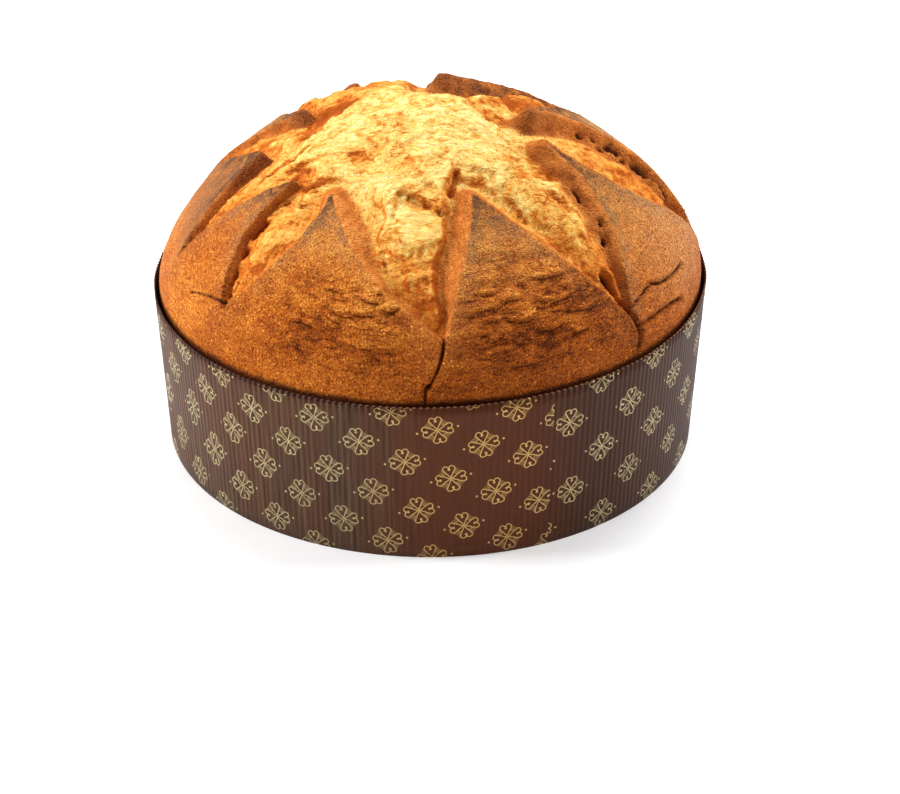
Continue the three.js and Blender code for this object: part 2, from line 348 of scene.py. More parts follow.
def loaf_surface(plan):
    """The torn top of the loaf over points in plan: its vertices, and the fields that colour it."""
    base = on_dome(plan)
    normals = dome_normals(plan)
    radius = np.hypot(*plan.T)
    azimuth = np.degrees(np.arctan2(plan[:, 1], plan[:, 0])) % 360
    sides = star_sides()
    # Where two sides of the star are about equally near, their sizes blend.
    found = [nearest_on_path(base, on_dome(side["plan"])) for side in sides]
    distances = np.stack([distance for distance, _, _, _ in found])
    ways = np.stack([way for _, _, _, way in found])
    nearest = distances.min(axis=0)
    weights = np.exp(-(distances - nearest) / SIDE_BLEND)
    weights /= weights.sum(axis=0)

    def blended(key):
        values = np.array([side[key] for side in sides])
        return (weights * values[:, None]).sum(axis=0)

    def gap_to(spots):
        return np.min([np.linalg.norm(base - spot, axis=1) for spot in on_dome(np.array(spots))], axis=0)

    tear_gap = gap_to([side["plan"][0] for side in sides[::2]])
    tip_gap = gap_to([side["tip"] for side in sides[::2]])
    taper = blended("taper")
    reached = 0.2 + 0.8 * smooth(tear_gap, 0.35 * taper, taper)
    wall = blended("wall") * reached * (1 + 0.25 * rough(base, 11.0, 13))
    depth = blended("depth")
    rise = blended("rise")
    outline = np.concatenate([side["plan"][:-1] for side in sides])
    inside = inside_outline(plan, outline)
    ragged = 0.4 * rough(base, 9.0, 1) + 0.2 * rough(base, 2.6, 2)
    inward = np.where(inside, nearest, -nearest) + ragged

    # Across a side: the crust rises to its lip, the wall falls, and the crumb rises again.
    lip = LIP + blended("curl") * np.exp(-tip_gap / TIP_REACH) * (1 + 0.35 * rough(base, 7.0, 19))
    outer = lip * np.exp(np.minimum(inward, 0.0) / LIP_WIDTH)
    down = smooth(inward, 0.0, wall)
    back = smooth(inward, wall, wall + rise)
    hump = CRUMB_HUMP * smooth(inward, wall, wall + 26.0)
    inner = lip * (1 - down) - depth * down * (1 - back) + hump
    height = np.where(inward > 0, inner, outer)

    swell = np.sin(3 * np.radians(azimuth) + 0.6) + 0.7 * np.sin(5 * np.radians(azimuth) + 2.1)
    share = np.clip(radius / DOME_RADIUS, 0.0, 1.0)
    height += SWELL * swell * share * (1 - share**6)
    height += 0.5 * rough(base, 26.0, 3)

    # The grain of the crumb, the crust and the scorched walls
    crumb = smooth(inward, 0.7 * wall, wall + 2.0)
    torn = torn_texture(base, azimuth, radius)
    height += crumb * torn
    lumpy = 0.3 * rough(base, 9.0, 14) + 0.1 * rough(base, 2.4, 12)
    height += (1 - crumb) * lumpy
    on_wall = (1 - crumb) * smooth(inward, 0.5, 2.0) * smooth(blended("scorched"), 0.0, 0.2)
    layers = np.column_stack([inward, inward * 0.3, tear_gap / 5.0])
    height += on_wall * (0.35 * ridged(layers, 2.4, 21) + 0.3 * rough(base, 4.0, 22))

    crease_gap = np.full(len(plan), FAR)
    for number, (path, width, deep) in enumerate(CREASES):
        distance, _, _ = nearest_on_curve(base, path)
        distance = np.maximum(distance + 0.35 * rough(base, 4.0, 20 + number), 0.0)
        cut = np.exp(-((distance / width) ** 2))
        height -= deep * cut
        height += 0.3 * deep * np.exp(-((distance / (3.5 * width)) ** 2)) * (1 - cut)
        crease_gap = np.minimum(crease_gap, distance / max(width, CREASE_DARK_WIDTH))

    sunk = np.zeros(len(plan))
    for number, (path, width, deep) in enumerate(VALLEYS):
        distance, along, _ = nearest_on_curve(base, path)
        opening = 0.4 + 0.6 * smooth(along, 0, 0.5)
        width = width * (1 + 0.4 * rough(base, 7.0, 80 + number)) * opening
        distance = np.maximum(distance + 0.4 * rough(base, 5.0, 90 + number), 0.0)
        ends = smooth(along, 0.0, 0.4) * (1 - smooth(along, 0.85, 1.0))
        sunk += deep * ends * crumb * np.exp(-((distance / width) ** 2))

    for number, (path, drop, undercut, run) in enumerate(LEDGES):
        distance, along, side = nearest_on_curve(base, path, reach=30.0)
        beyond = -side * distance + 0.9 * rough(base, 4.0, 40 + number)
        ends = smooth(along, 0.0, 0.12) * (1 - smooth(along, 0.9, 1.0))
        fall = smooth(beyond, 0.0, 0.9) * (1 - smooth(beyond, 2.0, run))
        under = np.exp(-(((beyond - 1.2) / 0.9) ** 2)) * smooth(rough(base, 5.0, 45), -0.2, 0.3)
        sunk += crumb * ends * (drop * fall + undercut * under)
    height -= sunk

    hollow_gap = np.full(len(plan), FAR)
    for number, (which, share_along, way_in, length, width, deep) in enumerate(HOLLOWS):
        distance, along, _, _ = found[which]
        side_length = np.linalg.norm(np.diff(sides[which]["plan"], axis=0), axis=1).sum()
        run = (along - share_along) * side_length
        stretched = np.hypot(run / (length / 2), (distance - way_in) / (width / 2))
        stretched += 0.45 * rough(base, 2.6, 60 + number)
        stretched = np.where(inside, stretched, FAR)
        height -= deep * (1 - smooth(stretched, 0.5, 1.1))
        hollow_gap = np.minimum(hollow_gap, stretched)

    folds, above_fold, fold_size = folded(base)
    on_crust = 1 - smooth(inward, -2.0, 0.0)
    wrinkle = wrinkled(base, azimuth, radius)
    height += on_crust * (folds - 0.55 * wrinkle)
    height *= smooth(base[:, 2], WALL_HEIGHT, WALL_HEIGHT + RELIEF_START)

    # The lip leans over the wall, and the crust follows it.
    lean = blended("lean") * np.where(inward > 0, 1 - 1.3 * down, np.exp(np.minimum(inward, 0.0) / 4.0))
    lean *= (inward < wall + 1.0) * smooth(base[:, 2], WALL_HEIGHT + 2, WALL_HEIGHT + 12)
    way = (weights[:, :, None] * ways).sum(axis=0) * np.where(inside, 1.0, -1.0)[:, None]
    way /= np.maximum(np.linalg.norm(way, axis=1), 0.3)[:, None]

    vertices = base + normals * height[:, None] + way * lean[:, None]
    fields = {
        "inward": inward,
        "wall_share": inward / wall,
        "burn": blended("burnt") * np.exp(-tip_gap / blended("spread")),
        "scorch": blended("scorched") * np.exp(-np.maximum(inward - wall, 0.0) / 2.0),
        "crease_gap": crease_gap,
        "hollow_gap": hollow_gap,
        "relief": crumb * (torn - 0.7 * sunk),
        "wrinkle": on_crust * wrinkle,
        "wrinkly": on_crust * wrinkled_part(azimuth, radius),
        "above_fold": above_fold,
        "fold_size": on_crust * fold_size,
    }
    return vertices, fields


def torn_texture(base, azimuth, radius):
    """Heights of the torn crumb: smooth lumps, plates with torn edges, strands and a few pores."""
    warp = 3.5 * np.column_stack([rough(base, 10.0, seed) for seed in (4, 5, 6)])
    torn = base + warp
    around = np.radians(azimuth) * np.maximum(radius, 12.0)
    strands = np.column_stack([around, radius / 3.0, base[:, 2] / 3.0]) + 0.5 * warp
    lumps = 1.2 * rough(base, 22.0, 10) + 0.35 * rough(base, 9.0, 17)
    plates = 0.8 * smooth(rough(torn, 15.0, 15), 0.0, 0.08)
    plates += 0.45 * smooth(rough(torn, 7.0, 16), 0.15, 0.25)
    outer = smooth(radius, 30.0, 60.0)
    ridges = 0.2 * ridged(torn, 3.4, 7) + (0.15 + 0.4 * outer) * ridged(strands, 2.8, 9)
    pores = (1 - smooth(pits(torn, 5.2, 11), 0.08, 0.24)) * smooth(rough(base, 16.0, 18), 0.0, 0.3)
    return lumps + plates + ridges - 0.7 * pores - 0.9


def nearest_on_curve(points, polar_points, reach=16.0):
    """Distance, share along and side for each point within `reach` of a curve on the dome through
    three places given by azimuth and radius."""
    start, middle, end = [from_polar(*point) for point in polar_points]
    path = on_dome(curve_points(start, 2 * middle - (start + end) / 2, end, 12))
    near = ((points > path.min(axis=0) - reach) & (points < path.max(axis=0) + reach)).all(axis=1)
    distance = np.full(len(points), 99.0)
    along = np.zeros(len(points))
    side = np.ones(len(points))
    distance[near], along[near], side[near], _ = nearest_on_path(points[near], path)
    return distance, along, side


def folded(base):
    """Heights of the folds in the crust, the way up from the nearest fold and the size of that fold."""
    height = np.zeros(len(base))
    nearest = np.full(len(base), FAR)
    above_nearest = np.full(len(base), FAR)
    size_nearest = np.zeros(len(base))
    waver = 0.5 * rough(base, 5.0, 120)
    for *places, size in FOLDS:
        distance, along, side = nearest_on_curve(base, np.reshape(places, (3, 2)), reach=8.0)
        above = side * distance + waver
        here = size * smooth(along, 0.0, 0.3) * (1 - smooth(along, 0.7, 1.0))
        bulge = smooth(above, -0.4, 0.5) * np.exp(-np.maximum(above, 0.0) / 2.6)
        dip = np.exp(-(((above + 0.7) / 0.8) ** 2))
        height += here * (bulge - 0.75 * dip)
        closer = distance < nearest
        nearest = np.where(closer, distance, nearest)
        above_nearest = np.where(closer, above, above_nearest)
        size_nearest = np.where(closer, here, size_nearest)
    return height, above_nearest, size_nearest


def wrinkled_part(azimuth, radius):
    """1 where the lower front of the crust is finely wrinkled, and 0 elsewhere."""
    front_left = smooth(azimuth, 228, 243) * (1 - smooth(azimuth, 262, 271))
    front_right = smooth(azimuth, 274, 280) * (1 - smooth(azimuth, 308, 320))
    upper = 68.0 + 8.0 * front_left
    part = (front_left + front_right) * smooth(radius, upper, upper + 10.0)
    return part * (1 - smooth(radius, 98, 102.4))


def wrinkled(base, azimuth, radius):
    """How far a point lies down in the fine wrinkles, which run around the loaf, from 0 to 1."""
    around = np.radians(azimuth) * 95.0
    stretched = np.column_stack([around / 3.4, radius, base[:, 2]])
    stretched[:, 1] += 1.2 * rough(base, 9.0, 131)
    trough = np.exp(-((rough(stretched, 4.2, 133) / 0.2) ** 2))
    trough += 0.6 * np.exp(-((rough(stretched, 2.7, 137) / 0.25) ** 2))
    return trough * smooth(rough(stretched, 7.0, 139), -0.45, 0.25) * wrinkled_part(azimuth, radius)


def disc_from_square(square):
    """Points of a square grid moved to a disc, with cells of even size."""
    x, y = square.T
    wide = np.abs(x) > np.abs(y)
    reach = np.where(wide, x, y)
    ratio = np.where(wide, y, x) / np.where(reach == 0, 1.0, reach)
    turn = np.where(wide, math.pi / 4 * ratio, math.pi / 2 - math.pi / 4 * ratio)
    return np.column_stack([reach * np.cos(turn), reach * np.sin(turn)])


def even_dome_radius(share):
    """The radius on the dome at a share of the way along its profile, from the top to the rim."""
    turn = np.linspace(0.0, math.pi / 2, 400)
    radius = DOME_RADIUS * np.sin(turn) ** DOME_FULLNESS[0]
    steps = np.hypot(np.diff(radius), np.diff(dome_height(radius)))
    length = np.concatenate([[0.0], np.cumsum(steps)])
    return np.interp(share, length / length[-1], radius)


def slanted(points):
    lift = SLANT * points[:, 0] * smooth(points[:, 2], 2.0, WALL_HEIGHT)
    return points + np.column_stack([np.zeros((len(points), 2)), lift])


def case_radius(height):
    return BASE_RADIUS + (RIM_RADIUS - BASE_RADIUS) * height / WALL_HEIGHT


def new_piece(name, bm, material, smooth_faces=True):
    mesh = bpy.data.meshes.new(name)
    bm.to_mesh(mesh)
    bm.free()
    mesh.materials.append(material)
    mesh.polygons.foreach_set("use_smooth", [smooth_faces] * len(mesh.polygons))
    piece = bpy.data.objects.new(name, mesh)
    bpy.context.scene.collection.objects.link(piece)
    return piece


def mesh_points(mesh):
    points = np.zeros(len(mesh.vertices) * 3)
    mesh.vertices.foreach_get("co", points)
    return points.reshape(-1, 3)


def set_mesh_points(mesh, points):
    mesh.vertices.foreach_set("co", points.astype(np.float32).ravel())
    mesh.update()


def loaf_piece(material):
    bm = bmesh.new()
    bmesh.ops.create_grid(bm, x_segments=LOAF_CELLS, y_segments=LOAF_CELLS, size=1.0)
    floor = CASE_FLOOR + LOAF_GAP
    wall_heights = (WALL_HEIGHT - TUCK_DEPTH, WAIST_HEIGHT, floor + FLOOR_ROUNDING)
    skirt = [(case_radius(z) - CASE_WALL - LOAF_GAP, z) for z in wall_heights]
    skirt.append((case_radius(floor) - FLOOR_INSET, floor))
    # The grid starts at a height of 1, and each ring of the skirt at its own whole number below that.
    edge = [e for e in bm.edges if e.is_boundary]
    for v in bm.verts:
        v.co.z = 1.0
    for level in range(len(skirt)):
        extruded = bmesh.ops.extrude_edge_only(bm, edges=edge)["geom"]
        edge = [e for e in extruded if isinstance(e, bmesh.types.BMEdge) and e.is_boundary]
        for v in [v for v in extruded if isinstance(v, bmesh.types.BMVert)]:
            v.co.z = -level
    bmesh.ops.contextual_create(bm, geom=edge)
    bmesh.ops.recalc_face_normals(bm, faces=bm.faces)
    loaf = new_piece("loaf_crust_and_crumb", bm, material)
    mesh = loaf.data
    points = mesh_points(mesh)
    disc = disc_from_square(points[:, :2])
    reach = np.hypot(*disc.T)
    outward = disc / np.maximum(reach, 1e-9)[:, None]
    top = points[:, 2] > 0.5
    plan = outward * even_dome_radius(reach)[:, None]
    vertices, fields = loaf_surface(plan[top])
    placed = np.zeros_like(points)
    placed[top] = vertices
    for level, (radius, height) in enumerate(skirt):
        ring = np.isclose(points[:, 2], -level)
        placed[ring] = np.column_stack([outward[ring] * radius, np.full(ring.sum(), height)])
    set_mesh_points(mesh, slanted(placed) * MM)
    normals = np.zeros(len(points) * 3)
    mesh.vertex_normals.foreach_get("vector", normals)
    fields["steep"] = 1 - (normals.reshape(-1, 3)[top] * dome_normals(plan[top])).sum(axis=1)
    for name, values in fields.items():
        everywhere = np.full(len(points), BELOW_THE_RIM.get(name, 0.0))
        everywhere[top] = values
        attribute = mesh.attributes.new(name, "FLOAT", "POINT")
        attribute.data.foreach_set("value", everywhere.astype(np.float32))
    return loaf


def paper_case_piece(material):
    """The wall with its thickness, and the floor: a grid bent round a ring profile, then fluted."""
    columns = FLUTES * FLUTE_COLUMNS
    heights = np.linspace(0.0, WALL_HEIGHT, WALL_ROWS)
    outer = [(case_radius(z), z) for z in heights]
    inner = [(case_radius(z) - PAPER_THICKNESS, max(z, PAPER_THICKNESS)) for z in heights[::-1]]
    profile = outer + inner
    bm = bmesh.new()
    bmesh.ops.create_grid(bm, x_segments=columns, y_segments=len(profile) - 1, size=1.0)
    seam = [v for v in bm.verts if abs(v.co.x) > 0.9999]
    for v in bm.verts:
        turn = math.pi * round((v.co.x + 1) * columns / 2) * 2 / columns
        radius, height = profile[round((v.co.y + 1) / 2 * (len(profile) - 1))]
        v.co = (radius * math.cos(turn), radius * math.sin(turn), height)
    bmesh.ops.remove_doubles(bm, verts=seam, dist=0.01)
    for height in (0.0, PAPER_THICKNESS):
        rim = [e for e in bm.edges if e.is_boundary and abs(e.verts[0].co.z - height) < 1e-3]
        bmesh.ops.contextual_create(bm, geom=rim)
    bmesh.ops.recalc_face_normals(bm, faces=bm.faces)
    case = new_piece("fluted_paper_case", bm, material)
    points = mesh_points(case.data)
    radius = np.hypot(points[:, 0], points[:, 1])
    turn = np.arctan2(points[:, 1], points[:, 0])
    share = np.clip(points[:, 2] / WALL_HEIGHT, 0.0, 1.0)
    sway = 0.35 * np.sin(7 * turn + 1.0) + 0.25 * np.sin(17 * turn + 2.0 * share)
    wave = np.cos(FLUTES * turn + sway)
    flute = FLUTE_DEPTH * (0.5 * wave - 0.5) * smooth(points[:, 2], -1.0, 3.0)
    uneven = smooth_noise(np.column_stack([6 * np.cos(turn), 6 * np.sin(turn), 0.8 * share]), 50)
    new_radius = radius + flute + UNEVENNESS * (uneven - 0.6) * share
    at_rim = smooth(share, CRIMP_START, 1.0)
    height = points[:, 2] + CRIMP * (wave + 0.6 * uneven) * at_rim - CRIMP * at_rim
    placed = np.column_stack([new_radius * np.cos(turn), new_radius * np.sin(turn), height])
    set_mesh_points(case.data, slanted(placed) * MM)
    is_outer = np.abs(radius - case_radius(points[:, 2])) < 0.1
    attribute = case.data.attributes.new("outside", "FLOAT", "POINT")
    attribute.data.foreach_set("value", is_outer.astype(np.float32))
    return case


def arithmetic(operation, swapped=False):
    """A method of Field that makes one maths node, with the field as its first value or its last."""

    def method(self, *others):
        values = (*others, self) if swapped else (self, *others)
        return self.finish.node("ShaderNodeMath", {"operation": operation}, dict(enumerate(values)))

    return method


class Field:
    """A number that varies over a surface, for ordinary arithmetic: it wraps a shader socket."""

    def __init__(self, finish, socket):
        self.finish = finish
        self.socket = socket

    __add__ = arithmetic("ADD")
    __radd__ = arithmetic("ADD", swapped=True)
    __sub__ = arithmetic("SUBTRACT")
    __rsub__ = arithmetic("SUBTRACT", swapped=True)
    __mul__ = arithmetic("MULTIPLY")
    __rmul__ = arithmetic("MULTIPLY", swapped=True)
    __truediv__ = arithmetic("DIVIDE")
    __pow__ = arithmetic("POWER")
    __abs__ = arithmetic("ABSOLUTE")
    __mod__ = arithmetic("FLOORED_MODULO")
    floor = arithmetic("FLOOR")
    sqrt = arithmetic("SQRT")
    least = arithmetic("MINIMUM")
    most = arithmetic("MAXIMUM")
    bearing = arithmetic("ARCTAN2")

    def ease(self, low, high):
        """0 below `low`, 1 above `high`, with a smooth step between them."""
        settings = {"interpolation_type": "SMOOTHSTEP", "clamp": True}
        sockets = {"Value": self, "From Min": low, "From Max": high}
        return self.finish.node("ShaderNodeMapRange", settings, sockets)

    def between(self, low, full, fading, gone):
        """1 from `full` to `fading`, and 0 below `low` and above `gone`, with smooth steps."""
        return self.ease(low, full) * (1 - self.ease(fading, gone))


class Finish:
    """A material under construction. Every node comes from its one method, node."""

    def __init__(self, name):
        self.material = bpy.data.materials.new(name)
        self.material.use_nodes = True
        self.tree = self.material.node_tree
        self.tree.nodes.clear()

    def node(self, kind, settings=None, sockets=None, output=0):
        made = self.tree.nodes.new(kind)
        for key, value in (settings or {}).items():
            if key == "stops":
                ramp = made.color_ramp
                while len(ramp.elements) < len(value):
                    ramp.elements.new(0.5)
                for element, (position, colour) in zip(ramp.elements, value):
                    element.position = position
                    element.color = colour
            else:
                setattr(made, key, value)
        for key, value in (sockets or {}).items():
            if isinstance(value, Field):
                self.tree.links.new(value.socket, made.inputs[key])
            else:
                made.inputs[key].default_value = value
        return None if output is None else Field(self, made.outputs[output])

    def object_place(self):
        return self.node("ShaderNodeTexCoord", output="Object")

    def axes(self, place):
        return [self.node("ShaderNodeSeparateXYZ", None, {"Vector": place}, axis) for axis in "XYZ"]

    def joined(self, x, y, z):
        return self.node("ShaderNodeCombineXYZ", None, {"X": x, "Y": y, "Z": z})

    def measure(self, name):
        return self.node("ShaderNodeAttribute", {"attribute_name": name}, output="Fac")

    def noise(self, place, size, detail=2.0, roughness=0.5, distortion=0.0):
        """Cloudy noise of about 0 to 1 whose clouds are about `size` millimetres across."""
        sockets = {"Vector": place, "Scale": METRE / size, "Detail": detail, "Roughness": roughness}
        return self.node("ShaderNodeTexNoise", None, {**sockets, "Distortion": distortion})

    def cells(self, place, size):
        """Distance to the nearest of many scattered points, in shares of `size` millimetres."""
        return self.node("ShaderNodeTexVoronoi", None, {"Vector": place, "Scale": METRE / size})

    def mix(self, share, first, second):
        """The colour `first` where `share` is 0, and `second` where it is 1."""
        sockets = {0: share, 6: first, 7: second}
        return self.node("ShaderNodeMix", {"data_type": "RGBA"}, sockets, output=2)

    def ramp(self, value, stops):
        """A colour along a scale of `stops`, each a position and a colour, in order."""
        return self.node("ShaderNodeValToRGB", {"stops": stops}, {"Fac": value})

    def stretch(self, place, scale):
        return self.node("ShaderNodeMapping", None, {"Vector": place, "Scale": scale})

    def bump(self, height, distance, strength):
        """A bump whose height field of 0 to 1 stands for `distance` millimetres."""
        sockets = {"Height": height, "Distance": distance * MM, "Strength": strength}
        return self.node("ShaderNodeBump", None, sockets)

    def surface(self, **sockets):
        values = {name.replace("_", " "): value for name, value in sockets.items()}
        shader = self.node("ShaderNodeBsdfPrincipled", None, values)
        self.node("ShaderNodeOutputMaterial", None, {"Surface": shader}, output=None)
        return self.material


def srgb(red, green, blue):
    """A display colour, 0 to 255, as the linear colour with alpha that shaders take."""
    shares = [value / 255 for value in (red, green, blue)]
    linear = [s / 12.92 if s <= 0.04045 else ((s + 0.055) / 1.055) ** 2.4 for s in shares]
    return (*linear, 1.0)


# The middle of the pale crumb, in metres
CRUMB_CENTRE = (-0.001, -0.012, 0.130)
# The scales at which the strands' noise is read: around the loaf, and outwards and up
STRAND_AROUND = 0.06
STRAND_OUTWARD = 0.22


def loaf_finish():
    finish = Finish("baked_crust_and_torn_crumb")
    place = finish.object_place()
    x, y, height = finish.axes(place)
    inward, wall_share, burn, scorch = map(finish.measure, ("inward", "wall_share", "burn", "scorch"))
    relief, wrinkly, wrinkle = map(finish.measure, ("relief", "wrinkly", "wrinkle"))
    above_fold, fold_size = map(finish.measure, ("above_fold", "fold_size"))
    crease_shade = 1 - finish.measure("crease_gap").ease(0.4, 1.1)
    crease_core_shade = 1 - finish.measure("crease_gap").ease(0.1, 0.6)
    painted_hole_shade = 1 - finish.measure("hollow_gap").ease(0.5, 0.95)
    steep = finish.measure("steep").ease(0.02, 0.3)

    # Grains and clouds that the crust, the walls and the crumb share
    grain = finish.noise(place, 0.65, 2.0, 0.7)
    grit = finish.cells(place, 1.1)
    middle = finish.noise(place, 7.0, 3.0, 0.6)
    broad = finish.noise(place, 40.0, 2.0, 0.5)
    radius = (x**2 + y**2).sqrt()
    radial = finish.joined(y.bearing(x) * STRAND_AROUND, radius * STRAND_OUTWARD, height * STRAND_OUTWARD)
    strands = finish.noise(radial, 1.5, 3.0, 0.65, 0.5)
    speck = (0.5 - grain) * 1.4 + (1 - grit.ease(0.05, 0.3)) * 0.3

    # The crust: from tan through golden brown to dark brown where it is mottled. It is darker low down,
    # partly baked colour and partly painted shade, and darker still low at the front right and high at the
    # far left, which is painted shade.
    level = finish.noise(finish.stretch(place, (0.3, 0.3, 1.3)), 2.6, 2.0, 0.5, 0.5)
    # Painted shade below each fold's bulge, and a painted highlight on the bulge above it.
    under_fold_shade = above_fold.between(-0.85, -0.35, -0.25, 0.25) * fold_size.ease(0.15, 0.9)
    over_fold_highlight = above_fold.between(0.5, 1.4, 1.8, 3.4) * fold_size.ease(0.1, 1.0)
    shade = (broad - 0.5) * 0.6 + (middle - 0.5) * 0.3 + (1 - height.ease(0.066, 0.112)) * 0.2
    shade = shade + (1 - height.ease(0.08, 0.116)) * x.ease(-0.075, 0.0) * 0.16 + 0.26
    shade = shade + (1 - x.ease(-0.09, -0.05)) * height.ease(0.075, 0.095) * 0.13
    crinkle = finish.noise(finish.stretch(place, (0.5, 0.5, 1.6)), 1.4, 3.0, 0.7, 0.4)
    sparkle = 1 - finish.cells(place, 1.9).ease(0.1, 0.24)
    hairline = finish.noise(place, 11.0, 3.0, 0.6, 0.6)
    hairlines = (1 - abs(hairline - 0.5).ease(0.0, 0.005)) * middle.ease(0.5, 0.6)
    # Painted shade: the crust is darker down in the fine wrinkles and along their troughs.
    troughs = (1 - abs(level - 0.5).ease(0.0, 0.07)) * wrinkly * middle.ease(0.35, 0.6)
    shade = shade + speck + under_fold_shade * 0.5 - over_fold_highlight * 0.12 + wrinkle * 0.2 + troughs * 0.16
    shade = shade + (level - 0.5) * 0.3 + (0.5 - crinkle) * 0.9 + hairlines * 0.4 - sparkle * 0.4
    crust = finish.ramp(shade, [
        (0.0, srgb(242, 170, 78)),
        (0.25, srgb(214, 128, 44)),
        (0.55, srgb(174, 86, 22)),
        (1.0, srgb(94, 40, 12)),
    ])
    # Towards the tips and the torn edges it is grey brown, and at the very tips darker still.
    near_edge = inward.ease(-13.0, -0.5) * (0.15 + 0.85 * burn.ease(0.1, 0.5))
    near_tip = burn.ease(0.12, 0.65) * 0.8
    patchy = finish.noise(place, 4.5, 4.0, 0.7, 0.4).ease(0.38, 0.6)
    greyed = near_edge.most(near_tip) * (0.45 + 0.6 * patchy)
    grey = finish.mix(grain.ease(0.34, 0.66), srgb(122, 80, 48), srgb(182, 128, 80))
    crust = finish.mix(greyed.least(0.88) * (1 - under_fold_shade * 0.7), crust, grey)
    # Painted sheen: the crust is paler and greyer high on the right.
    painted_sheen = (x + y * 0.5).ease(0.045, 0.085) * height.ease(0.068, 0.085) * grain.ease(0.42, 0.56)
    crust = finish.mix(painted_sheen * 0.5 * (1 - under_fold_shade), crust, srgb(214, 166, 112))
    charred = burn.ease(0.35, 0.9) * (0.3 + 0.8 * patchy) * (0.45 + 0.55 * inward.ease(-8.0, -1.0))
    crust = finish.mix(charred.least(0.85), crust, srgb(84, 50, 32))

    # The wall of the tear: orange brown, and dark where it is scorched and, as painted shade, where it lies
    # under a leaning lip. Steep faces are painted a little darker too, as shade.
    wall = finish.ramp(0.45 + (middle - 0.5) + (strands - 0.5) + speck * 0.7 + steep * 0.15, [
        (0.0, srgb(242, 170, 92)),
        (0.45, srgb(210, 122, 50)),
        (1.0, srgb(150, 74, 26)),
    ])
    scorched = (scorch * (0.4 + 1.2 * middle.ease(0.3, 0.7))).most(burn.ease(0.8, 1.25) * 0.75).least(1.0)
    scorch_tone = finish.mix(grain.ease(0.4, 0.6), srgb(74, 40, 24), srgb(132, 78, 44))
    wall = finish.mix(scorched, wall, scorch_tone)

    # The crumb: one tone from cream through golden to orange brown. It is palest in the middle of
    # the star, and darkest near the walls and along torn strands. It is also darker where it lies low and
    # on steep faces, which is painted shade.
    away = finish.node("ShaderNodeVectorMath", {"operation": "SUBTRACT"}, {0: place, 1: CRUMB_CENTRE})
    reach = finish.node("ShaderNodeVectorMath", {"operation": "LENGTH"}, {0: away}, output="Value")
    far = (reach + (broad - 0.5) * 0.02).ease(0.028, 0.088)
    tatters = finish.noise(place, 15.0, 5.0, 0.6, 0.8)
    drawn = finish.stretch(place, (0.4, 0.8, 0.9))
    fibres = finish.noise(drawn, 1.5, 4.0, 0.7, 1.4)
    flecks = finish.noise(drawn, 3.0, 3.0, 0.6, 1.0).ease(0.53, 0.66)
    winding = finish.noise(drawn, 5.0, 2.0, 0.5, 1.6)
    tears = (1 - abs(winding - 0.5).ease(0.0, 0.022)) * tatters.ease(0.4, 0.6)
    torn = fibres * (1 - far * 0.5) + strands * far * 0.5
    rim = 1 - inward.ease(3.0, 10.0)
    behind = (y + (tatters - 0.5) * 0.02).ease(0.004, 0.014)
    to_the_right = x.ease(0.025, 0.06) * y.ease(-0.03, 0.0)
    plates = tatters.ease(0.42, 0.5) * 0.5 + tatters.ease(0.54, 0.6) * 0.5
    tone = far * 0.34 + rim * 0.1 + behind * 0.16 + to_the_right * 0.13 + plates * 0.2
    # Painted shade: steep faces, here, and low places, in the next line, are darker.
    tone = tone + (torn - 0.5) * 1.5 + 0.18 + flecks * 0.3 + tears * 0.35 + steep * 0.4
    tone = tone + (1 - relief.ease(-2.4, -0.2)) * 0.5 - relief.ease(0.4, 1.8) * 0.1
    crumb = finish.ramp(tone, [
        (0.0, srgb(255, 238, 176)),
        (0.25, srgb(252, 216, 126)),
        (0.5, srgb(240, 174, 80)),
        (0.75, srgb(220, 128, 44)),
        (1.0, srgb(186, 92, 28)),
    ])

    # All three together, with painted shade in the holes and along the creases, and the dark line along the
    # case's rim, partly burnt crust and partly painted shadow in the gap.
    past_wall = (wall_share + (torn - 0.5) * 1.2 + (tatters - 0.5) * 0.8).ease(0.85, 1.2)
    inside = finish.mix(past_wall, wall, crumb)
    colour = finish.mix((inward + (grain - 0.5) * 0.9).ease(-0.35, 0.45), crust, inside)
    colour = finish.mix(painted_hole_shade * 0.95, colour, srgb(58, 18, 8))
    colour = finish.mix(crease_shade * 0.7, colour, srgb(104, 44, 12))
    colour = finish.mix(crease_core_shade * 0.9, colour, srgb(40, 16, 8))
    # A dark line low on the crust at the case's rim: partly burnt crust and partly painted shadow in the
    # gap.
    low = 1 - (height - x * SLANT + (middle - 0.5) * 0.004).ease(0.0645, 0.0674)
    colour = finish.mix(low * 0.9, colour, srgb(56, 22, 12))

    is_crumb = wall_share.ease(0.8, 1.3)
    crust_height = grain * 1.1 + crinkle * 1.4 + grit.ease(0.0, 0.5) * 0.8 - troughs * 0.9 - wrinkle * 0.5
    crumb_height = torn * 2.2 + grain * 0.5 - tears * 0.5 - flecks * 0.3
    height_field = crust_height * (1 - is_crumb) + crumb_height * is_crumb
    normal = finish.bump(height_field, 0.6, 1.0)
    return finish.surface(Base_Color=colour, Roughness=0.6, Specular_IOR_Level=0.05, Normal=normal)


